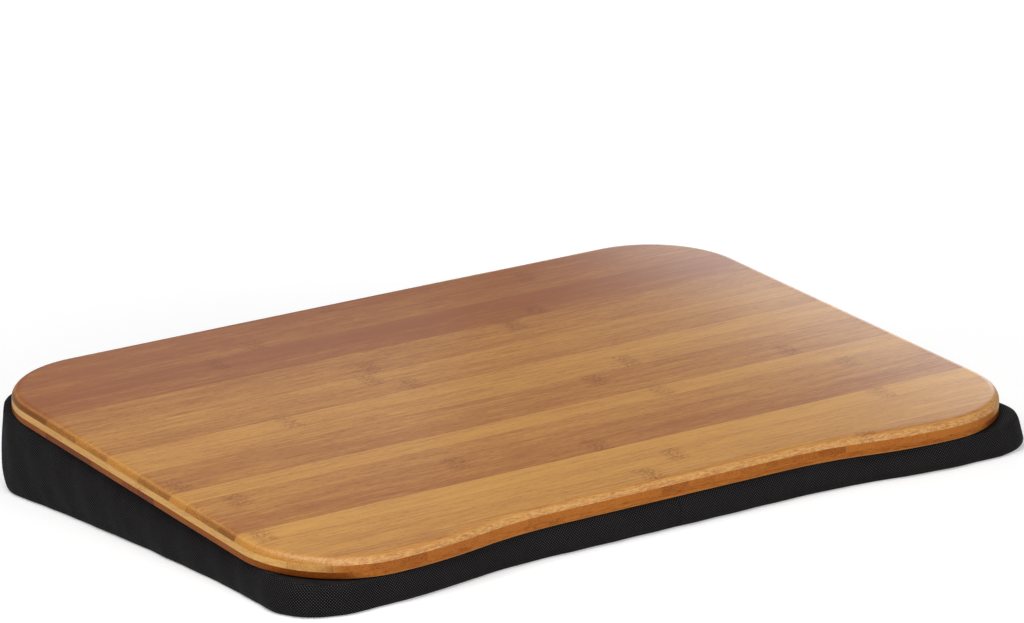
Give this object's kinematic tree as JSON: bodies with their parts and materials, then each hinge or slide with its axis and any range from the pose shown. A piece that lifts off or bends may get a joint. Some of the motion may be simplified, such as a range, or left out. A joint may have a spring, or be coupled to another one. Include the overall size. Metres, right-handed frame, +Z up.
{
  "type": "lap tray",
  "caption": "Sloping lap tray: a bamboo board of crossed strips with rounded corners and a shallow recess for the body, on a wedge cushion in a black cloth cover.",
  "frame": {"origin": "on the surface that the cushion rests on, below the middle of the board's underside", "axes": "+X to the user's right, +Y away from the user, +Z up"},
  "size_m": [0.5082, 0.3776, 0.065],
  "materials": {
    "bamboo_top": "satin lacquer over warm brown bamboo",
    "bamboo_core": "satin lacquer over lighter bamboo",
    "bamboo_bottom": "satin lacquer over warm brown bamboo",
    "cover_cloth": "matt black plain weave",
    "filling": "loose soft filling",
    "hook_tape": "black hook tape",
    "loop_tape": "black loop tape"
  },
  "bodies": {
    "root": {"bottom_strip_front": "bamboo_bottom", "bottom_strips": "bamboo_bottom", "core_strip_01": "bamboo_core", "core_strip_02": "bamboo_core", "core_strip_03": "bamboo_core", "core_strip_04": "bamboo_core", "core_strip_05": "bamboo_core", "core_strip_06": "bamboo_core", "core_strip_07": "bamboo_core", "core_strip_08": "bamboo_core", "core_strip_09": "bamboo_core", "core_strip_10": "bamboo_core", "core_strip_11": "bamboo_core", "core_strip_12": "bamboo_core", "core_strip_13": "bamboo_core", "core_strip_14": "bamboo_core", "core_strip_15": "bamboo_core", "core_strip_16": "bamboo_core", "core_strip_17": "bamboo_core", "core_strip_18": "bamboo_core", "core_strip_19": "bamboo_core", "core_strip_20": "bamboo_core", "core_strip_21": "bamboo_core", "core_strip_22": "bamboo_core", "core_strip_23": "bamboo_core", "core_strip_24": "bamboo_core", "core_strip_25": "bamboo_core", "core_strip_26": "bamboo_core", "core_strip_27": "bamboo_core", "core_strip_28": "bamboo_core", "core_strip_29": "bamboo_core", "cover_band_left": "cover_cloth", "cover_band_right": "cover_cloth", "cover_base_panel": "cover_cloth", "cover_top_panel": "cover_cloth", "cushion_filling": "filling", "hook_strips": "hook_tape", "loop_strips": "loop_tape", "top_strip_01": "bamboo_top", "top_strip_02": "bamboo_top", "top_strip_03": "bamboo_top", "top_strip_04": "bamboo_top", "top_strip_05": "bamboo_top", "top_strip_06": "bamboo_top", "top_strip_07": "bamboo_top", "top_strip_08": "bamboo_top", "top_strip_09": "bamboo_top", "top_strip_10": "bamboo_top", "top_strip_11": "bamboo_top", "top_strip_12": "bamboo_top", "top_strip_13": "bamboo_top", "top_strip_14": "bamboo_top", "top_strip_15": "bamboo_top", "top_strip_16": "bamboo_top", "top_strip_17": "bamboo_top", "top_strip_18": "bamboo_top", "top_strip_19": "bamboo_top", "top_strip_20": "bamboo_top", "top_strip_21": "bamboo_top"}
  },
  "joints": []
}
